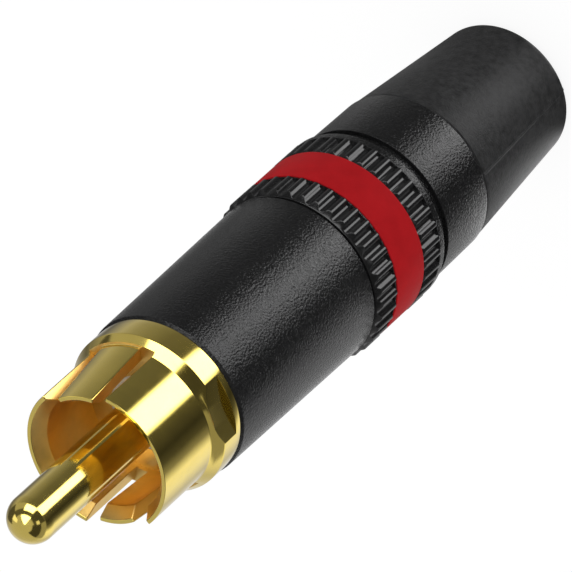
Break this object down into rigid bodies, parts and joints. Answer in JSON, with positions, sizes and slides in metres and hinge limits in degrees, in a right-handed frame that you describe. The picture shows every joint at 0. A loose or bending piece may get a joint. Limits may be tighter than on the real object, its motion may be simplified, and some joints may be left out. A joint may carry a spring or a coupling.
{
  "type": "rca plug",
  "caption": "Phono cable plug: gold centre pin and slotted ground sleeve that unscrew from a black knurled shell with a red coding ring and a tapered boot.",
  "frame": {"origin": "centre of the boot's end face, on which the plug stands", "axes": "+Z along the plug's axis towards the nose of the pin, +X through a wrench flat and a wide petal of the sleeve"},
  "size_m": [0.0123, 0.0124, 0.0562],
  "materials": {
    "gold_plate": "polished gold plating",
    "insulator_plastic": "satin",
    "chuck_plastic": "satin",
    "black_shell": "fine-grained satin black",
    "red_ring": "satin",
    "boot_rubber": "matte charcoal"
  },
  "bodies": {
    "shell": {"barrel": "black_shell", "coding_ring": "red_ring", "rear_bushing": "black_shell", "boot": "boot_rubber"},
    "chuck": {"cable_chuck": "chuck_plastic"},
    "plug": {"contact_body": "gold_plate", "insulator": "insulator_plastic", "centre_pin": "gold_plate", "ground_lug": "gold_plate"}
  },
  "joints": [
    {"name": "plug_turn", "type": "hinge", "parent": "shell", "child": "chuck", "pos_m": [0, 0, 0.03], "axis": [0, 0, 1], "range_deg": [0, 1800]},
    {"name": "plug_slide", "type": "slide", "parent": "chuck", "child": "plug", "axis": [0, 0, 1], "range_m": [0, 0.005]}
  ],
  "couplings": [
    {"joint": "plug_slide", "follows": "plug_turn", "m_per_rad": 0.00015915}
  ]
}
